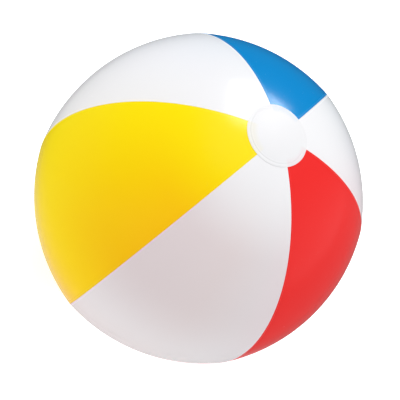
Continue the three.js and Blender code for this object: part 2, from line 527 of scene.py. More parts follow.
def dressed(piece: Object, finish: Finish, effects: Effects, node: str, body: Body | None) -> Object:
    """Gives a piece its finish and its place in the model.

    Args:
        piece: The piece.
        finish: What it is made of.
        effects: The shared shader groups.
        node: The node of the model that it stands for.
        body: The body that it rides on, or None where it bends between two.

    Returns:
        The piece.
    """
    piece.data.materials.clear()
    piece.data.materials.append(finish.material(effects))
    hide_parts(node)
    if body is not None:
        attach(piece, body.value)
    log.info("%s: %d faces, stands for %s", piece.name, len(piece.data.polygons), node)
    return piece


# ---------------------------------------------------------------------------
# The ball's shape
# ---------------------------------------------------------------------------


@dataclass(frozen=True)
class BallShape:
    """The blown-up skin: its gores are a little flat between their seams, and its poles drawn out."""

    seam_radius: float
    face_radius: float
    pole_height: float
    cap_radius: float
    rest_level: float
    film: float = 0.2 * MM
    cap_film: float = 0.3 * MM
    cap_lift: float = 0.3 * MM

    @classmethod
    def measured(cls) -> BallShape:
        """Reads the model's own sizes.

        Returns:
            The shape.
        """
        low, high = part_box("end_cap_top")
        return cls(
            seam_radius=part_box("panel_red")[1].x,
            face_radius=-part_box("panel_yellow")[0].y,
            pole_height=high.z - cls.cap_lift - cls.cap_film,
            cap_radius=(high.x - low.x) / 2,
            rest_level=-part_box("end_cap_bottom")[0].z,
        )

    def seam_reach(self, polar: float) -> float:
        """Distance from the centre to the skin at a seam, at an angle from the pole."""
        return self.seam_radius + (self.pole_height - self.seam_radius) * math.cos(polar) ** 2

    def face_fall(self, distance: float) -> float:
        """How far the skin falls away at a distance from the middle of a gore."""
        return self.face_radius - math.sqrt(self.face_radius**2 - distance**2)


# ---------------------------------------------------------------------------
# Shared effects of the finishes
# ---------------------------------------------------------------------------

# Painted shade and painted coloured bounce light, multiplied into the film's colour by angle around the
# axis in degrees: darker and pinker on the front white gore, a little darker on the red, more orange on
# the yellow towards the front white gore, and a little bluer from the back gore round to the left one.
PAINTED_SHADE_AND_BOUNCE: list[tuple[float, Colour]] = [
    (-180, (0.92, 0.96, 1.0)),
    (-150, (0.97, 0.98, 1.0)),
    (-120.3, (1.0, 0.99, 0.97)),
    (-119.7, (1.0, 1.0, 1.0)),
    (-90, (1.0, 0.87, 1.0)),
    (-60.3, (1.0, 0.71, 1.0)),
    (-59.7, (0.865, 0.76, 0.76)),
    (-30, (0.88, 0.78, 0.77)),
    (-12, (0.885, 0.815, 0.815)),
    (-2, (0.9, 0.81, 0.82)),
    (62, (0.98, 0.88, 0.9)),
    (85, (0.92, 0.92, 0.94)),
    (118, (0.93, 0.98, 1.0)),
    (180, (0.92, 0.96, 1.0)),
]

# The gores' points, which show through the caps.
THROUGH_CLEAR: Colour = (1.0, 1.0, 1.0)
THROUGH_YELLOW: Colour = (1.0, 0.93, 0.6)
THROUGH_RED: Colour = (1.0, 0.7, 0.74)
THROUGH_BLUE: Colour = (0.66, 0.84, 1.0)
UNDER_CAP: list[tuple[float, Colour]] = [
    (-180, THROUGH_CLEAR),
    (-122, THROUGH_CLEAR),
    (-118, THROUGH_YELLOW),
    (-62, THROUGH_YELLOW),
    (-58, THROUGH_CLEAR),
    (-2, THROUGH_CLEAR),
    (2, THROUGH_RED),
    (58, THROUGH_RED),
    (62, THROUGH_CLEAR),
    (118, THROUGH_CLEAR),
    (122, THROUGH_BLUE),
    (178, THROUGH_BLUE),
    (180, THROUGH_CLEAR),
]


def around_ball(graph: Graph, stops: Sequence[tuple[float, Colour]]) -> Socket:
    """A colour that goes by the angle around the ball's axis.

    Args:
        graph: Where its nodes go.
        stops: Angles in degrees, from -180 to 180, and their colours.

    Returns:
        The colour.
    """
    x, y, _ = graph.parts(graph.place())
    turn = graph.add(graph.over(graph.maths("ARCTAN2", y, x), FULL_TURN), 0.5)
    node = graph.node("ShaderNodeValToRGB", {"Fac": turn})
    elements = node.color_ramp.elements
    elements.remove(elements[-1])
    for i, (angle, colour) in enumerate(stops):
        element = elements[0] if i == 0 else elements.new((angle + 180) / 360)
        element.position = (angle + 180) / 360
        element.color = (*colour, 1.0)
    return node.outputs["Color"]


@dataclass(frozen=True)
class Pattern:
    """Noise that is cut into soft patches, between a low and a high."""

    scale: float
    detail: float
    low: float
    high: float


CLOUDS = Pattern(9.0, 3.0, 0.35, 0.75)
GRAIN = Pattern(900.0, 2.0, 0.45, 0.7)
SCUFFED_PATCHES = Pattern(14.0, 2.0, 0.5, 0.7)
DUSTY_PATCHES = Pattern(160.0, 1.0, 0.62, 0.7)


@dataclass(frozen=True)
class Effects:
    """The shader groups that several finishes share."""

    mottle: Group
    peel: Group
    scuffs: Group
    dust: Group
    seam: Group
    ring: Group
    # Painted shade and painted coloured bounce light for the film.
    glow: Group

    @classmethod
    def build(cls) -> Effects:
        """Builds each group once.

        Returns:
            The groups.
        """
        return cls(
            mottle=cls.build_mottle(),
            peel=cls.build_peel(),
            scuffs=cls.build_scuffs(),
            dust=cls.build_dust(),
            seam=cls.build_seam(),
            ring=cls.build_ring(),
            glow=cls.build_glow(),
        )

    @staticmethod
    def build_mottle() -> Group:
        """Uneven colour of rolled film: broad clouds and a fine grain.

        Returns:
            A group that puts out a colour.
        """
        inputs = {"Colour": (0.8, 0.8, 0.8), "Deep": (0.6, 0.6, 0.6), "Clouds": 0.1, "Grain": 0.02}
        group = Group("film_mottle", inputs, {"Colour": Output.COLOUR})
        given, where = group.given, group.place()
        clouds = group.times(group.patches(where, CLOUDS), given["Clouds"])
        grain = group.times(group.patches(where, GRAIN), given["Grain"])
        clouded = group.mix(clouds, given["Colour"], given["Deep"])
        group.put_out("Colour", group.mix(grain, clouded, given["Deep"]))
        return group

    @staticmethod
    def build_peel() -> Group:
        """The skin's waviness: a long swell, orange peel and a fine tooth.

        Returns:
            A group that puts out a height in metres.
        """
        inputs = {"Swell": 0.02 * MM, "Peel": 0.003 * MM, "Tooth": 0.0006 * MM}
        group = Group("film_peel", inputs, {"Height": Output.VALUE})
        where = group.place()
        # Each layer's name, scale and detail.
        layers = (("Swell", 22.0, 1.0), ("Peel", 350.0, 2.0), ("Tooth", 2400.0, 1.0))
        heights = [
            group.times(group.less(group.noise(where, scale, detail), 0.5), group.given[key])
            for key, scale, detail in layers
        ]
        group.put_out("Height", group.add(*heights))
        return group

    @staticmethod
    def build_scuffs() -> Group:
        """Fine hairlines from handling, in two directions.

        Returns:
            A group whose mask is highest on a hairline.
        """
        group = Group("handling_scuffs", {"Amount": 0.3, "Scale": 60.0}, {"Mask": Output.VALUE})
        given, where = group.given, group.place()
        masks = []
        strokes = (((0.4, 0.7, 0.2), (1.0, 9.0, 1.0)), ((1.3, 0.1, 0.9), (8.0, 1.0, 1.0)))
        for turn, stretch in strokes:
            inputs = {"Vector": where, "Rotation": turn, "Scale": stretch}
            placed = group.node("ShaderNodeMapping", inputs).outputs[0]
            masks.append(group.step(group.noise(placed, given["Scale"], 4.0, 0.6), 0.66, 0.72))
        patches = group.patches(where, SCUFFED_PATCHES)
        group.put_out("Mask", group.times(group.maths("MAXIMUM", *masks), patches, given["Amount"]))
        return group

    @staticmethod
    def build_dust() -> Group:
        """Sparse specks of dust on what looks up.

        Returns:
            A group whose mask is highest on a speck.
        """
        group = Group("settled_dust", {"Amount": 0.2, "Scale": 700.0}, {"Mask": Output.VALUE})
        given, where = group.given, group.place()
        specks = group.node("ShaderNodeTexVoronoi", {"Vector": where, "Scale": given["Scale"]})
        small = group.fade(specks.outputs["Distance"], 0.05, 0.16)
        few = group.patches(where, DUSTY_PATCHES)
        up = group.step(group.parts(where)[2], 0.0, 120 * MM)
        group.put_out("Mask", group.times(small, few, up, given["Amount"]))
        return group

    @staticmethod
    def build_seam() -> Group:
        """The film beside a welded seam: hazed by the press, and drawn into faint puckers.

        Returns:
            A group that puts out a mask of the pressed band and a height in metres.
        """
        inputs = {
            "Width": 3.0 * MM,
            "Pucker": 0.02 * MM,
            "Reach": 22.0 * MM,
            "Stretch": 0.22,
            "Scale": 130.0,
        }
        group = Group("seam_band", inputs, {"Mask": Output.VALUE, "Height": Output.VALUE})
        given = group.given
        away = group.node("ShaderNodeAttribute", attribute_name="seam_distance").outputs["Fac"]
        along = group.node("ShaderNodeAttribute", attribute_name="seam_run").outputs["Fac"]
        pressed = group.fade(away, group.times(given["Width"], 0.6), given["Width"])
        near = group.fade(away, 0.0, given["Reach"])
        lines = group.vector(group.times(away, given["Stretch"]), along, 0.0)
        puckers = group.less(group.noise(lines, given["Scale"], 2.0), 0.5)
        group.put_out("Mask", pressed)
        group.put_out("Height", group.times(puckers, near, given["Pucker"]))
        return group

    @staticmethod
    def build_ring() -> Group:
        """A ring of knurled weld around the valve's axis.

        Returns:
            A group that puts out the ring's mask and a height in metres.
        """
        inputs = {
            "Inner": HOLE_RADIUS,
            "Outer": 21.0 * MM,
            "Soft Edge": 0.5 * MM,
            "Sunk": 0.15 * MM,
            "Knurl": 0.02 * MM,
            "Ridges": 4200.0,
        }
        group = Group("weld_ring", inputs, {"Mask": Output.VALUE, "Height": Output.VALUE})
        given = group.given
        soft = given["Soft Edge"]
        x, y, z = group.parts(group.place())
        out = group.maths("SQRT", group.add(group.squared(x), group.squared(z)))
        rises = group.step(out, given["Inner"], group.add(given["Inner"], soft))
        falls = group.fade(out, group.less(given["Outer"], soft), given["Outer"])
        mask = group.times(rises, falls, group.maths("GREATER_THAN", y, 0.0))
        slants = [group.add(x, group.times(z, slope)) for slope in (1.0, -1.0)]
        waves = [group.maths("SINE", group.times(slant, given["Ridges"])) for slant in slants]
        knurl = group.times(group.add(*waves), given["Knurl"])
        group.put_out("Mask", mask)
        group.put_out("Height", group.times(mask, group.less(knurl, given["Sunk"])))
        return group

    @staticmethod
    def build_glow() -> Group:
        """Painted shade and painted coloured bounce light, multiplied into the film's colour, most
        between the equator and the caps.

        Returns:
            A group that puts out the tinted colour.
        """
        inputs = {
            "Colour": (0.8, 0.8, 0.8),
            "Amount": 1.0,
            "At Equator": 0.55,
            "Middle": 75 * MM,
            "Fades From": 118 * MM,
            "Fades By": 163 * MM,
        }
        group = Group("inner_glow", inputs, {"Colour": Output.COLOUR})
        given = group.given
        height = group.maths("ABSOLUTE", group.parts(group.place())[2])
        toward_cap = group.fade(height, given["Fades From"], given["Fades By"])
        rise = group.step(height, 0.0, given["Middle"])
        share = group.add(given["At Equator"], group.times(rise, group.less(1.0, given["At Equator"])))
        amount = group.times(given["Amount"], share, toward_cap)
        # The painted shade and bounce light's colour, by angle around the axis.
        light = around_ball(group, PAINTED_SHADE_AND_BOUNCE)
        group.put_out("Colour", group.mix(amount, given["Colour"], light, "MULTIPLY"))
        return group


# ---------------------------------------------------------------------------
# Finishes
# ---------------------------------------------------------------------------

DUST: Colour = (0.75, 0.72, 0.68)
VINYL_IOR = 1.53
# How much rougher a scuff is than the film around it.
SCUFF_HAZE = 0.25


@dataclass(frozen=True)
class Finish:
    """Vinyl, with what every piece of it shares."""

    name: str
    slot: Slot
    colour: Colour
    deep: Colour
    roughness: float = 0.2
    clouds: float = 0.3
    grain: float = 0.06
    shine: float = 0.12
    dust: float = 0.2
    scuffs: float = 0.3

    def material(self, effects: Effects) -> bpy.types.Material:
        """Builds the material, once.

        Args:
            effects: The shared shader groups.

        Returns:
            The material.
        """
        made = bpy.data.materials.get(self.name)
        if made is not None:
            return made
        material = bpy.data.materials.new(self.name)
        material.use_nodes = True
        graph = Graph(material.node_tree)
        shader = material.node_tree.nodes["Principled BSDF"].inputs
        given = {"Colour": self.colour, "Deep": self.deep, "Clouds": self.clouds, "Grain": self.grain}
        film = graph.effect(effects.mottle, **given)["Colour"]
        dust = graph.effect(effects.dust, Amount=self.dust)["Mask"]
        scuffs = graph.effect(effects.scuffs, Amount=self.scuffs)["Mask"]
        worn = graph.add(dust, graph.times(scuffs, SCUFF_HAZE), self.roughness)
        colour, rough, height = self.relief(graph, effects, film, worn)
        graph.feed(shader["Base Color"], graph.mix(dust, colour, DUST))
        graph.feed(shader["Roughness"], rough)
        graph.bump(shader, height)
        shader["IOR"].default_value = VINYL_IOR
        shader["Specular IOR Level"].default_value = self.shine
        return material

    def relief(self, graph: Graph, effects: Effects, film: Socket, rough: Socket) -> Relief:
        """What a kind of vinyl adds to its own colour and roughness.

        Args:
            graph: The material's graph.
            effects: The shared shader groups.
            film: The film's own colour.
            rough: The worn film's roughness.

        Returns:
            The colour, the roughness, and a height in metres.
        """
        return film, rough, graph.effect(effects.peel)["Height"]


@dataclass(frozen=True)
class GoreFilm(Finish):
    """The film of a gore, pressed along its seams."""

    # How much painted shade and painted coloured bounce light the film carries.
    glow: float = 0.0
    has_valve: bool = False
    pressed_haze: float = 0.1
    knurled_haze: float = 0.2

    def relief(self, graph: Graph, effects: Effects, film: Socket, rough: Socket) -> Relief:
        """Adds the pressed seams, the painted shade and painted bounce light, and the valve's weld.

        Args:
            graph: The material's graph.
            effects: The shared shader groups.
            film: The film's own colour.
            rough: The worn film's roughness.

        Returns:
            The colour, the roughness, and a height in metres.
        """
        peel = graph.effect(effects.peel)["Height"]
        seam = graph.effect(effects.seam)
        rough = graph.add(rough, graph.times(seam["Mask"], self.pressed_haze))
        height = graph.add(peel, seam["Height"])
        # Painted shade and painted bounce light, multiplied into the film's colour.
        if self.glow:
            film = graph.effect(effects.glow, Colour=film, Amount=self.glow)["Colour"]
        if self.has_valve:
            ring = graph.effect(effects.ring)
            rough = graph.add(rough, graph.times(ring["Mask"], self.knurled_haze))
            height = graph.add(height, ring["Height"])
        return film, rough, height


@dataclass(frozen=True)
class CapFilm(Finish):
    """The film of a cap, with the gores' points showing through around its edge."""

    through: float = 0.25
    lapped_from: float = POINT_RADIUS - 1.5 * MM
    lapped_past: float = POINT_RADIUS + 4.0 * MM
    lapped_haze: float = 0.05

    def relief(self, graph: Graph, effects: Effects, film: Socket, rough: Socket) -> Relief:
        """Adds the gores' points.

        Args:
            graph: The material's graph.
            effects: The shared shader groups.
            film: The film's own colour.
            rough: The worn film's roughness.

        Returns:
            The colour, the roughness, and a height in metres.
        """
        height = graph.effect(effects.peel)["Height"]
        x, y, _ = graph.parts(graph.place())
        out = graph.maths("SQRT", graph.add(graph.squared(x), graph.squared(y)))
        lapped = graph.step(out, self.lapped_from, self.lapped_past)
        points = around_ball(graph, UNDER_CAP)
        colour = graph.mix(graph.times(lapped, self.through), film, points, "MULTIPLY")
        return colour, graph.add(rough, graph.times(lapped, self.lapped_haze)), height


# The yellow and white films, the valve's gore too, carry painted shade and painted coloured bounce
# light.
YELLOW_FILM = GoreFilm("yellow_film", Slot.YELLOW, (1.0, 0.79, 0.001), (1.0, 0.71, 0.0008), glow=1.0)
RED_FILM = GoreFilm("red_film", Slot.RED, (0.88, 0.029, 0.027), (0.86, 0.022, 0.02))
BLUE_FILM = GoreFilm("blue_film", Slot.BLUE, (0.001, 0.252, 0.62), (0.0008, 0.224, 0.58))
WHITE_FILM = GoreFilm("white_film", Slot.WHITE, (0.89, 0.89, 0.9), (0.86, 0.86, 0.87), glow=1.0)
VALVE_GORE_FILM = replace(WHITE_FILM, name="white_film_with_valve", has_valve=True)
CAP_FILM = CapFilm(
    "cap_film", Slot.CAP, (0.84, 0.84, 0.85), (0.81, 0.81, 0.82), roughness=0.4, shine=0.05
)
VALVE_VINYL = Finish("valve_vinyl", Slot.VALVE, (0.84, 0.84, 0.82), (0.76, 0.76, 0.74), roughness=0.4)


# ---------------------------------------------------------------------------
# Gores
# ---------------------------------------------------------------------------


class GoreName(Enum):
    """Each gore, with its node, its middle's angle around the axis, and its film."""

    YELLOW = ("panel_yellow", -90, YELLOW_FILM)
    WHITE_FRONT = ("panel_white_front", -30, WHITE_FILM)
    RED = ("panel_red", 30, RED_FILM)
    WHITE_BACK = ("panel_white_back", 90, VALVE_GORE_FILM)
    BLUE = ("panel_blue", 150, BLUE_FILM)
    WHITE_LEFT = ("panel_white_left", 210, WHITE_FILM)


@dataclass
class Gores:
    """The six gores of film, welded to each other along turned-in edges."""

    shape: BallShape
    half_width: float = math.radians(30)
    fin_depth: float = 4.0 * MM
    fold_radius: float = 0.35 * MM
    seam_gap: float = 0.04 * MM
    swell: float = 0.12 * MM
    swell_scale: float = 2.6
    sliver: float = 0.005 * MM
    face_columns: int = 28
    fold_columns: int = 4
    fin_columns: int = 2
    rows: int = 190
    crowding: float = 1.5

    def tree(self, film: bpy.types.Material) -> Group:
        """Builds the rule of a gore as a geometry tree, with its middle along +X.

        Args:
            film: What a gore is made of unless its modifier says otherwise.

        Returns:
            The tree.
        """
        shape = self.shape
        inputs = {
            "Seam Radius": shape.seam_radius,
            "Face Radius": shape.face_radius,
            "Pole Height": shape.pole_height,
            "Point Angle": math.asin(POINT_RADIUS / shape.seam_radius),
            "Half Width": self.half_width,
            "Fin Depth": self.fin_depth,
            "Fold Radius": self.fold_radius,
            "Seam Gap": self.seam_gap,
            "Swell": self.swell,
            "Swell Scale": self.swell_scale,
            "Swell Seed": 0.0,
            "Face Columns": self.face_columns,
            "Fold Columns": self.fold_columns,
            "Fin Columns": self.fin_columns,
            "Rows": self.rows,
            "Crowding": self.crowding,
            "Film": film,
        }
        tree = Group("gore_shape", inputs, {"Geometry": Output.GEOMETRY}, "GeometryNodeTree")
        given = tree.given
        face, fold, fin = given["Face Columns"], given["Fold Columns"], given["Fin Columns"]
        half = tree.add(face, fold, fin)
        steps = tree.less(given["Rows"], 1)
        sheet = {
            "Size X": tree.times(half, 2),
            "Size Y": steps,
            "Vertices X": tree.add(tree.times(half, 2), 1),
            "Vertices Y": given["Rows"],
        }
        grid = tree.node("GeometryNodeMeshGrid", sheet).outputs["Mesh"]

        column, row, _ = tree.parts(tree.node("GeometryNodeInputPosition").outputs[0])
        from_middle = tree.maths("ABSOLUTE", column)
        share = tree.maths("MINIMUM", tree.over(from_middle, face), 1)
        share = tree.less(1, tree.maths("POWER", tree.less(1, share), given["Crowding"]))
        folded = tree.maths("DIVIDE", tree.less(from_middle, face), fold, clamp=True)
        inside = tree.maths("DIVIDE", tree.less(tree.less(from_middle, face), fold), fin, clamp=True)

        radius = given["Fold Radius"]
        bend = tree.times(folded, math.pi / 2)
        clear = tree.add(
            tree.over(given["Seam Gap"], 2), tree.times(radius, tree.less(1, tree.maths("SINE", bend)))
        )
        fold_depth = tree.times(radius, tree.less(1, tree.maths("COSINE", bend)))
        depth = tree.add(fold_depth, tree.times(inside, tree.less(given["Fin Depth"], radius)))

        span = tree.less(math.pi, tree.times(given["Point Angle"], 2))
        polar = tree.less(math.pi / 2, tree.times(tree.over(row, steps), span))
        sine, cosine = tree.maths("SINE", polar), tree.maths("COSINE", polar)
        to_seam = tree.maths("ARCSINE", tree.over(clear, tree.times(given["Seam Radius"], sine)))
        turn = tree.times(tree.maths("SIGN", column), share, tree.less(given["Half Width"], to_seam))

        across = tree.over(turn, given["Half Width"])
        crown = tree.less(1, tree.squared(across))
        flatness = tree.less(given["Seam Radius"], given["Face Radius"])
        sunk = tree.times(flatness, crown, tree.squared(sine))
        drawn = tree.times(tree.less(given["Pole Height"], given["Seam Radius"]), tree.squared(cosine))
        skin = tree.add(tree.less(given["Seam Radius"], sunk), drawn)

        turn_x, turn_y = tree.maths("COSINE", turn), tree.maths("SINE", turn)
        direction = tree.vector(tree.times(sine, turn_x), tree.times(sine, turn_y), cosine)
        waves = {
            "Vector": direction,
            "W": given["Swell Seed"],
            "Scale": given["Swell Scale"],
            "Detail": 1.0,
        }
        wave = tree.node("ShaderNodeTexNoise", waves, noise_dimensions="4D").outputs[0]
        swollen = tree.times(tree.less(wave, 0.5), given["Swell"], crown)
        out = tree.less(tree.add(skin, swollen), depth)
        place = tree.node("ShaderNodeVectorMath", {0: direction}, operation="SCALE")
        tree.feed(place.inputs["Scale"], out)

        seam_distance = tree.times(
            tree.less(given["Half Width"], tree.maths("ABSOLUTE", turn)), given["Seam Radius"], sine
        )
        seam_run = tree.times(polar, given["Seam Radius"])
        mesh = grid
        for name, value in (("seam_distance", seam_distance), ("seam_run", seam_run)):
            stored = {"Geometry": mesh, "Name": name, "Value": value}
            mesh = tree.node("GeometryNodeStoreNamedAttribute", stored, data_type="FLOAT").outputs[0]
        moved = {"Geometry": mesh, "Position": place.outputs[0]}
        mesh = tree.node("GeometryNodeSetPosition", moved).outputs[0]
        mesh = tree.node("GeometryNodeSetShadeSmooth", {"Geometry": mesh}).outputs[0]
        mesh = tree.node("GeometryNodeRealizeInstances", {"Geometry": mesh}).outputs[0]
        coated = {"Geometry": mesh, "Material": given["Film"]}
        tree.put_out("Geometry", tree.node("GeometryNodeSetMaterial", coated).outputs[0])
        return tree

    def grown(self, tree: Group, name: str, seed: float, film: bpy.types.Material) -> Object:
        """Runs the tree for one gore.

        Args:
            tree: The gore's rule.
            name: The gore's name.
            seed: Which swell it has.
            film: What it is made of.

        Returns:
            The gore's outer face as a plain mesh.
        """
        carrier = new_piece(name, bpy.data.meshes.new(name))
        modifier = carrier.modifiers.new("gore", "NODES")
        modifier.node_group = tree.tree
        modifier[tree.identifier("Swell Seed")] = seed
        modifier[tree.identifier("Film")] = film
        return baked(carrier)

    def drilled(self, gore: Object) -> Object:
        """Cuts the valve's hole.

        Args:
            gore: The gore that holds the valve.

        Returns:
            The gore with a round hole in its middle.
        """
        middle = Vector((0.0, self.shape.face_radius, 0.0))
        reach = 10 * MM
        profile = [(0.0, -reach), (HOLE_RADIUS, -reach), (HOLE_RADIUS, reach), (0.0, reach)]
        drill = turned("valve_drill", profile, Axis(middle, Vector((0, 1, 0))), closed=False)
        cut = gore.modifiers.new("hole", "BOOLEAN")
        cut.object = drill
        cut.operation = "DIFFERENCE"
        cut.solver = "EXACT"
        gore = baked(gore)
        bpy.data.objects.remove(drill)
        built = bmesh.new()
        built.from_mesh(gore.data)
        bmesh.ops.remove_doubles(built, verts=built.verts, dist=self.sliver)
        bmesh.ops.dissolve_degenerate(built, dist=self.sliver, edges=built.edges)
        bmesh.ops.triangulate(built, faces=[face for face in built.faces if len(face.verts) > 4])
        built.to_mesh(gore.data)
        built.free()
        gore.data.set_sharp_from_angle(angle=SHARP_EDGE)
        return gore

    def build(self, effects: Effects) -> None:
        """Builds and dresses every gore.

        Args:
            effects: The shared shader groups.
        """
        tree = self.tree(WHITE_FILM.material(effects))
        for seed, (node, middle, film) in enumerate(gore.value for gore in GoreName):
            gore = self.grown(tree, f"{node}_film", float(seed), film.material(effects))
            gore.data.transform(Matrix.Rotation(math.radians(middle), 4, "Z"))
            wall = gore.modifiers.new("film", "SOLIDIFY")
            wall.thickness = self.shape.film
            wall.offset = -1.0
            gore = baked(gore)
            if film.has_valve:
                gore = self.drilled(gore)
            dressed(gore, film, effects, node, Body.BALL)


# ---------------------------------------------------------------------------
# Caps
# ---------------------------------------------------------------------------


@dataclass
class Caps:
    """The round caps that are welded over the gores' points, the upper one a little off the pole."""

    shape: BallShape
    off_pole: float = 2.0 * MM
    off_toward: float = math.radians(-103)
    clear: float = 0.04 * MM
    thickness: float = 0.3 * MM
    edge: float = 0.15 * MM
    line_at: float = 0.915
    line_width: float = 0.55 * MM
    line_depth: float = 0.14 * MM
    lip_height: float = 0.1 * MM
    lip_inside: float = 1.21 * MM
    steps: int = 150
    sides: int = 192

    def relief(self, out: float) -> float:
        """How far the weld raises or sinks the cap's face.

        Args:
            out: The distance from the cap's axis.

        Returns:
            The height that is added.
        """
        line = self.line_at * self.shape.cap_radius
        groove = math.exp(-(((out - line) / self.line_width) ** 2))
        lip = math.exp(-(((out - line + self.lip_inside) / self.line_width) ** 2))
        return self.lip_height * lip - self.line_depth * groove

    def profile(self, is_resting: bool) -> Profile:
        """The cap's outline, from the axis over its face, round its edge, and back underneath.

        Args:
            is_resting: Whether its middle is pressed flat on the ground.

        Returns:
            Radius and height of each point.
        """
        shape = self.shape
        end = math.asin((shape.cap_radius - self.edge) / shape.seam_radius)
        polars = [end * step / self.steps for step in range(self.steps + 1)]
        face: Profile = []
        under: Profile = []
        for polar in polars:
            skin = shape.seam_reach(polar)
            top = skin + self.clear + self.thickness + self.relief(skin * math.sin(polar))
            low = skin + self.clear
            limit = shape.rest_level if is_resting else math.inf
            face.append((top * math.sin(polar), min(top * math.cos(polar), limit)))
            under.append((low * math.sin(polar), min(low * math.cos(polar), limit - self.thickness)))
        (face_out, face_up), (under_out, under_up) = face[-1], under[-1]
        rim = [
            (face_out + self.edge * math.sin(angle), face_up - self.edge * (1 - math.cos(angle)))
            for angle in map(math.radians, (25, 50, 75, 90))
        ]
        return [*face, *rim, (under_out + self.edge, under_up), *reversed(under)]

    def shifted(self) -> Matrix:
        """The slide over the skin that takes the upper cap off the pole."""
        hinge = Vector((-math.sin(self.off_toward), math.cos(self.off_toward), 0.0))
        return Matrix.Rotation(self.off_pole / self.shape.pole_height, 4, hinge)

    def build(self, effects: Effects) -> None:
        """Builds and dresses both caps.

        Args:
            effects: The shared shader groups.
        """
        for node, side in (("end_cap_top", 1.0), ("end_cap_bottom", -1.0)):
            profile = [(out, side * up) for out, up in self.profile(is_resting=side < 0)]
            axis = Axis(Vector(), Vector((0, 0, 1)))
            cap = turned(f"{node}_film", profile, axis, closed=False, sides=self.sides)
            if side > 0:
                cap.data.transform(self.shifted())
            dressed(cap, CAP_FILM, effects, node, Body.BALL)


# ---------------------------------------------------------------------------
# Valve
# ---------------------------------------------------------------------------


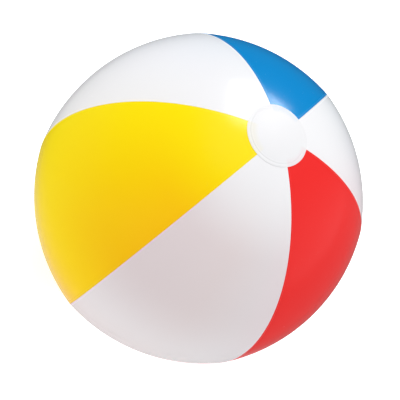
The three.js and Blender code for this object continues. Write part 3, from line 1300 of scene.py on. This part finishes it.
@dataclass
class Valve:
    """The push-in valve. Heights run along its bore, from the mouth, with inwards negative."""

    shape: BallShape
    stem_foot: float
    collar: float
    diaphragm_outer: float
    diaphragm_top: float
    diaphragm_foot: float
    flange_outer: float
    head: float
    head_top: float
    pin_foot: float
    tab_end: float
    strap_bend: float
    flap_radius: float
    flap_top: float
    flap_foot: float
    flap_end: float
    bore: float = 3.8 * MM
    stem_wall: float = 1.6 * MM
    lip: float = 6.4 * MM
    lip_height: float = 1.2 * MM
    collar_height: float = 1.4 * MM
    strap_width: float = 4.0 * MM
    strap_thickness: float = 0.8 * MM
    flange_thickness: float = 0.9 * MM
    diaphragm_film: float = 0.5 * MM
    diaphragm_wave: float = 0.12 * MM
    grip_rings: tuple[float, float] = (-7.4 * MM, -5.4 * MM)
    seal_rings: tuple[float, float] = (-3.4 * MM, -1.6 * MM)
    tab_width: float = 5.0 * MM
    tab_thickness: float = 0.9 * MM
    rib_pitch: float = 0.75 * MM
    flap_tab_width: float = 3.0 * MM
    clearance: float = 0.3 * MM
    ring_sides: int = 128

    @classmethod
    def measured(cls, shape: BallShape) -> Valve:
        """Reads the model's own sizes.

        Args:
            shape: The ball.

        Returns:
            The valve.
        """
        mouth = shape.face_radius
        stem_low, stem_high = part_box("valve_stem")
        wall_low, wall_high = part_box("valve_diaphragm")
        plug_low, plug_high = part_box("valve_plug")
        flap_low, flap_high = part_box("valve_flap")
        strap_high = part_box("plug_strap")[1]
        return cls(
            shape=shape,
            stem_foot=stem_low.y - mouth,
            collar=stem_high.x,
            diaphragm_outer=wall_high.x,
            diaphragm_top=wall_high.y - mouth,
            diaphragm_foot=wall_low.y - mouth,
            flange_outer=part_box("valve_flange")[1].x,
            head=plug_high.x,
            head_top=plug_high.y - mouth,
            pin_foot=plug_low.y - mouth,
            tab_end=-plug_low.z,
            strap_bend=strap_high.z,
            flap_radius=flap_high.x,
            flap_top=flap_high.y - mouth,
            flap_foot=flap_low.y - mouth,
            flap_end=flap_high.z,
        )

    @property
    def axis(self) -> Axis:
        """The bore, with its origin at the stem's mouth."""
        return Axis(Vector((0.0, self.shape.face_radius, 0.0)), Vector((0.0, 1.0, 0.0)))

    def at(self, x: float, height: float, z: float) -> Vector:
        """A point of the ball's frame, from its height along the bore."""
        return self.axis.origin + Vector((x, height, z))

    def build_flange(self) -> Object:
        """Builds the flange that is welded under the film, with a bead around the diaphragm.

        Returns:
            The flange.
        """
        inner = self.diaphragm_outer + 0.2 * MM
        under = -self.shape.film - 0.05 * MM
        steps = spaced(HOLE_RADIUS, self.flange_outer, 12)
        top = [(r, under - self.shape.face_fall(r), 0.0) for r in steps]
        foot = [(r, h - self.flange_thickness, 0.0) for r, h, _ in reversed(top)]
        bead = [
            (inner, -1.9 * MM, 0.3 * MM),
            (inner, -0.75 * MM, 0.35 * MM),
            (inner + 1.25 * MM, -0.75 * MM, 0.35 * MM),
            (HOLE_RADIUS - 0.1 * MM, under - self.shape.face_fall(HOLE_RADIUS) - 0.35 * MM, 0.15 * MM),
        ]
        outline = rounded([*bead, *top, *foot])
        return turned("valve_flange_ring", outline, self.axis, closed=True, sides=self.ring_sides)

    def build_diaphragm(self) -> Object:
        """Builds the soft funnel that lets the stem be pushed in, with a step near each end.

        Returns:
            The diaphragm.
        """
        inner, outer = self.collar + 0.1 * MM, self.diaphragm_outer + 0.15 * MM
        half, count = self.diaphragm_film / 2, 28
        low, high = self.diaphragm_foot + half, self.diaphragm_top - half
        middle = []
        for i in range(count + 1):
            t = i / count
            rise = t * t * (3 - 2 * t)
            out = inner + (outer - inner) * (0.25 * t + 0.75 * (4 * (t - 0.5) ** 3 + 0.5))
            wave = self.diaphragm_wave * math.sin(math.pi * 5 * t) * math.sin(math.pi * t)
            middle.append(Vector((out + wave, low + (high - low) * rise)))
        walls: dict[int, Profile] = {1: [], -1: []}
        for i, at in enumerate(middle):
            ahead = middle[min(i + 1, count)] - middle[max(i - 1, 0)]
            normal = Vector((ahead.y, -ahead.x)).normalized()
            for side in walls:
                point = at + normal * half * side
                walls[side].append((point.x, point.y))
        outline = walls[1] + walls[-1][::-1]
        return turned("valve_diaphragm_wall", outline, self.axis, closed=True, sides=self.ring_sides)

    def build_stem(self) -> Object:
        """Builds the tube, with its lip, its collar and two grip rings.

        Returns:
            The stem.
        """
        bore, tube = self.bore, self.bore + self.stem_wall
        collar_middle = self.diaphragm_foot + self.diaphragm_film / 2
        collar_top = collar_middle + self.collar_height / 2
        collar_foot = collar_middle - self.collar_height / 2
        corners = [
            (bore, self.stem_foot, 0.2 * MM),
            (tube - 0.35 * MM, self.stem_foot, 0.2 * MM),
            (tube, self.stem_foot + 1.2 * MM, 0.4 * MM),
            (tube, collar_foot, 0.15 * MM),
            (self.collar, collar_foot, 0.3 * MM),
            (self.collar, collar_top, 0.3 * MM),
            (tube, collar_top, 0.3 * MM),
        ]
        for ring in self.grip_rings:
            corners += [
                (tube, ring - 0.5 * MM, 0.15 * MM),
                (tube + 0.3 * MM, ring - 0.2 * MM, 0.15 * MM),
                (tube + 0.3 * MM, ring + 0.2 * MM, 0.15 * MM),
                (tube, ring + 0.5 * MM, 0.15 * MM),
            ]
        corners += [
            (tube, -self.lip_height, 0.2 * MM),
            (self.lip, -self.lip_height, 0.35 * MM),
            (self.lip, 0.0, 0.45 * MM),
            (bore, 0.0, 0.4 * MM),
        ]
        return turned("valve_stem_tube", rounded(corners), self.axis, closed=True)

    def build_plug(self) -> Object:
        """Builds the plug: a dished head, a pin with two sealing rings, and a ribbed finger tab.

        Returns:
            The plug.
        """
        seat, top, pin = self.clearance, self.head_top, self.bore - self.clearance
        dish = self.head - 1.5 * MM
        corners = [(0.0, self.pin_foot, 0.0), (pin - 0.8 * MM, self.pin_foot, 0.5 * MM)]
        for ring in self.seal_rings:
            corners += [
                (pin - 0.25 * MM, ring - 0.4 * MM, 0.15 * MM),
                (pin + 0.05 * MM, ring, 0.2 * MM),
                (pin - 0.25 * MM, ring + 0.4 * MM, 0.15 * MM),
            ]
        corners += [
            (pin, seat, 0.2 * MM),
            (self.head, seat, 0.3 * MM),
            (self.head, top, 0.6 * MM),
            (dish, top, 0.25 * MM),
            (dish - 0.35 * MM, top - 0.3 * MM, 0.25 * MM),
            (1.3 * MM, top - 0.3 * MM, 0.1 * MM),
            (1.0 * MM, top - 0.55 * MM, 0.1 * MM),
            (0.0, top - 0.55 * MM, 0.0),
        ]
        head = turned("plug_head", rounded(corners, closed=False), self.axis, closed=False)
        level = seat + 0.45 * MM
        middle = [self.at(0.0, level, -z) for z in spaced(self.head - 1.0 * MM, self.tab_end, 8)]
        tab = swept("plug_tab", middle, Vector((1, 0, 0)), self.tab_width, self.tab_thickness)
        ribs = []
        for i in range(2):
            z = -(self.head + self.rib_pitch * (1 + i))
            line = [self.at(x, level + 0.4 * MM, z) for x in spaced(-2.0 * MM, 2.0 * MM, 8)]
            ribs.append(swept(f"tab_rib_{i}", line, Vector((0, 0, 1)), 0.4 * MM, 0.35 * MM))
        return joined("valve_plug_body", [head, tab, *ribs])

    def build_strap(self) -> Object:
        """Builds the strap between stem and plug: a ring under the lip, a leg, a bend, a second leg.

        Returns:
            The strap.
        """
        thickness, width = self.strap_thickness, self.strap_width
        upper = self.clearance + thickness / 2
        lower = -self.lip_height - self.clearance - thickness / 2
        bend = (upper - lower) / 2
        bend_at = self.strap_bend - bend - thickness / 2
        tube = self.bore + self.stem_wall
        middle = (upper + lower) / 2
        arc = spaced(-math.pi / 2, math.pi / 2, 16)[1:-1]
        path = [self.at(0.0, lower, z) for z in spaced(tube + 0.5 * MM, bend_at, 8)]
        path += [self.at(0.0, middle + bend * math.sin(a), bend_at + bend * math.cos(a)) for a in arc]
        path += [self.at(0.0, upper, z) for z in spaced(bend_at, self.head - 0.4 * MM, 8)]
        band = swept("strap_band", path, Vector((1, 0, 0)), width, thickness)
        half = thickness / 2
        ring = rounded([
            (tube + 0.05 * MM, lower - half, 0.1 * MM),
            (tube + 1.1 * MM, lower - half, 0.25 * MM),
            (tube + 1.1 * MM, lower + half, 0.25 * MM),
            (tube + 0.05 * MM, lower + half, 0.1 * MM),
        ])
        return joined("plug_strap_band", [band, turned("strap_ring", ring, self.axis, closed=True)])

    def build_flap(self) -> Object:
        """Builds the check flap under the stem: a disc with a raised seal, and its hinge tab.

        Returns:
            The flap.
        """
        top, foot, edge = self.flap_top, self.flap_foot, self.flap_radius
        corners = [
            (0.0, foot, 0.0),
            (edge, foot, 0.15 * MM),
            (edge, top, 0.15 * MM),
            (self.bore + 0.3 * MM, top, 0.1 * MM),
            (self.bore - 0.2 * MM, top + 0.12 * MM, 0.1 * MM),
            (self.bore - 0.8 * MM, top, 0.1 * MM),
            (0.0, top, 0.0),
        ]
        disc = turned("flap_disc", rounded(corners, closed=False), self.axis, closed=False)
        middle = (top + foot) / 2
        path = [self.at(0.0, middle, z) for z in spaced(3.6 * MM, self.flap_end, 6)]
        tab = swept("flap_tab", path, Vector((1, 0, 0)), self.flap_tab_width, top - foot)
        return joined("valve_flap_disc", [disc, tab])

    def build(self, effects: Effects) -> None:
        """Builds and dresses the valve's pieces.

        Args:
            effects: The shared shader groups.
        """
        makers: list[tuple[Callable[[], Object], str, Body | None]] = [
            (self.build_flange, "valve_flange", Body.BALL),
            (self.build_diaphragm, "valve_diaphragm", None),
            (self.build_stem, "valve_stem", Body.STEM),
            (self.build_plug, "valve_plug", Body.PLUG),
            (self.build_strap, "plug_strap", None),
            (self.build_flap, "valve_flap", Body.FLAP),
        ]
        pieces = {
            node: dressed(make(), VALVE_VINYL, effects, node, body) for make, node, body in makers
        }
        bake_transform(pieces["valve_diaphragm"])
        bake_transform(pieces["plug_strap"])


# ---------------------------------------------------------------------------
# Studio
# ---------------------------------------------------------------------------


@dataclass(frozen=True)
class Softbox:
    """A square soft light that looks at the ball."""

    name: str
    toward: Direction
    distance: float
    size: float
    power: float
    is_mirrored: bool = True
    is_lighting: bool = True

    def build(self, frame: Matrix) -> None:
        """Hangs the light.

        Args:
            frame: The axes that the light's direction is given in.
        """
        data = bpy.data.lights.new(self.name, "AREA")
        data.size = self.size
        data.energy = self.power
        light = bpy.data.objects.new(self.name, data)
        bpy.context.scene.collection.objects.link(light)
        direction = (frame @ Vector(self.toward)).normalized()
        light.location = direction * self.distance
        light.rotation_euler = direction.to_track_quat("Z", "Y").to_euler()
        light.visible_glossy = self.is_mirrored
        light.visible_diffuse = self.is_lighting


SOFTBOXES = [
    Softbox("key_light", (0.42, 0.62, 0.66), 2.4, 2.0, 27.0, is_mirrored=False),
    Softbox("fill_light", (0.97, -0.3, -0.1), 2.0, 1.5, 4.0, is_mirrored=False),
    Softbox("shine_light", (0.53, 0.785, 0.27), 2.0, 1.1, 105.0, is_lighting=False),
]


@dataclass(frozen=True)
class Studio:
    """The camera, the floor, the softboxes and the room's light."""

    azimuth: float = math.radians(-61.79)
    elevation: float = math.radians(55.47)
    roll: float = math.radians(52.26)
    distance: float = 1.2987
    lens: float = 118.33
    shift: tuple[float, float] = (0.0048, -0.0031)
    floor_size: float = 30.0
    floor_colour: Colour = (0.9, 0.9, 0.9)
    floor_bounced: Colour = (0.85, 0.85, 0.85)
    floor_glow: Colour = (0.68, 0.68, 0.68)
    bounced_glow: Colour = (0.5, 0.5, 0.5)
    floor_near_mirrored: Colour = (0.22, 0.22, 0.22)
    floor_far_mirrored: Colour = (0.03, 0.03, 0.03)
    floor_close_mirrored: Colour = (0.65, 0.65, 0.65)
    floor_open_from: float = 0.32
    floor_close_from: float = 0.2
    floor_dark_from: float = 0.14
    floor_bright_from: float = -0.06
    room_light: Colour = (0.66, 0.66, 0.67)
    mirrored_upper: Colour = (0.03, 0.03, 0.03)
    mirrored_lower: Colour = (0.9, 0.9, 0.9)
    room_fade: float = 0.3
    backdrop: Colour = (1.0, 1.0, 1.0)

    def camera_axes(self) -> Matrix:
        """Works out which way the camera faces.

        Returns:
            Its right, up and backward directions, as a matrix's columns.
        """
        back = Vector((
            math.cos(self.elevation) * math.cos(self.azimuth),
            math.cos(self.elevation) * math.sin(self.azimuth),
            math.sin(self.elevation),
        ))
        level_right = Vector((-math.sin(self.azimuth), math.cos(self.azimuth), 0.0))
        level_up = back.cross(level_right)
        up = math.cos(self.roll) * level_up - math.sin(self.roll) * level_right
        right = math.cos(self.roll) * level_right + math.sin(self.roll) * level_up
        return Matrix((right, up, back)).transposed()

    def build_camera(self, axes: Matrix) -> None:
        """Places the camera.

        Args:
            axes: Its right, up and backward directions.
        """
        data = bpy.data.cameras.new("camera")
        data.lens = self.lens
        data.shift_x, data.shift_y = self.shift
        camera = bpy.data.objects.new("camera", data)
        bpy.context.scene.collection.objects.link(camera)
        camera.matrix_world = Matrix.Translation(axes.col[2] * self.distance) @ axes.to_4x4()
        bpy.context.scene.camera = camera

    def floor_paper(self, up: Vector) -> bpy.types.Material:
        """Builds the floor's white paper.

        Args:
            up: The direction towards which the floor's mirror image in the ball is dark.

        Returns:
            The material.
        """
        material = bpy.data.materials.new("floor_paper")
        material.use_nodes = True
        graph = Graph(material.node_tree)
        shader = material.node_tree.nodes["Principled BSDF"].inputs
        ray = graph.node("ShaderNodeLightPath").outputs
        seen = graph.mix(ray["Is Camera Ray"], self.floor_bounced, self.floor_colour)
        graph.feed(shader["Base Color"], graph.mix(ray["Is Glossy Ray"], seen, (0.0, 0.0, 0.0)))
        rise = graph.reach(graph.place(), up)
        near = graph.step(rise, self.floor_dark_from, self.floor_bright_from)
        away = graph.length(graph.place())
        close = graph.step(away, self.floor_open_from, self.floor_close_from)
        opened = graph.mix(close, self.floor_near_mirrored, self.floor_close_mirrored)
        mirrored = graph.mix(near, self.floor_far_mirrored, opened)
        glow = graph.mix(ray["Is Camera Ray"], self.bounced_glow, self.floor_glow)
        graph.feed(shader["Emission Color"], graph.mix(ray["Is Glossy Ray"], glow, mirrored))
        shader["Emission Strength"].default_value = 1.0
        shader["Roughness"].default_value = 0.9
        shader["Specular IOR Level"].default_value = 0.1
        return material

    def build_floor(self, level: float, up: Vector) -> None:
        """Lays the floor under the ball.

        Args:
            level: Its height.
            up: The direction towards which its mirror image in the ball is dark.
        """
        half = self.floor_size / 2
        built = bmesh.new()
        corners = [(-half, -half), (half, -half), (half, half), (-half, half)]
        built.faces.new([built.verts.new((x, y, level)) for x, y in corners])
        mesh = bpy.data.meshes.new("floor")
        built.to_mesh(mesh)
        built.free()
        mesh.materials.append(self.floor_paper(up))
        new_piece("floor", mesh)

    def build_room(self, up: Vector) -> None:
        """Fills the room with soft light, brighter from below the lens than from above it.

        Args:
            up: The direction that light fades towards.
        """
        world = bpy.data.worlds.new("room")
        world.use_nodes = True
        graph = Graph(world.node_tree)
        background = world.node_tree.nodes["Background"]
        toward = graph.node("ShaderNodeTexCoord").outputs["Generated"]
        low = graph.step(graph.reach(toward, up), self.room_fade, -self.room_fade)
        ray = graph.node("ShaderNodeLightPath").outputs
        mirrored = graph.mix(low, self.mirrored_upper, self.mirrored_lower)
        light = graph.mix(ray["Is Glossy Ray"], self.room_light, mirrored)
        graph.feed(background.inputs["Color"], graph.mix(ray["Is Camera Ray"], light, self.backdrop))
        bpy.context.scene.world = world

    def build(self, level: float) -> None:
        """Builds the studio.

        Args:
            level: The floor's height.
        """
        axes = self.camera_axes()
        self.build_camera(axes)
        self.build_floor(level, axes.col[1])
        self.build_room(axes.col[1])
        for softbox in SOFTBOXES:
            softbox.build(axes)
        bpy.context.scene.view_settings.view_transform = "Standard"


def main() -> None:
    """Builds the studio, then the ball's pieces in order."""
    logging.basicConfig(level=logging.INFO, format="%(name)s: %(message)s")
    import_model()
    shape = BallShape.measured()
    Studio().build(-shape.rest_level - FLOOR_GAP)
    effects = Effects.build()
    Gores(shape).build(effects)
    Caps(shape).build(effects)
    Valve.measured(shape).build(effects)


if __name__ == "__main__":
    main()
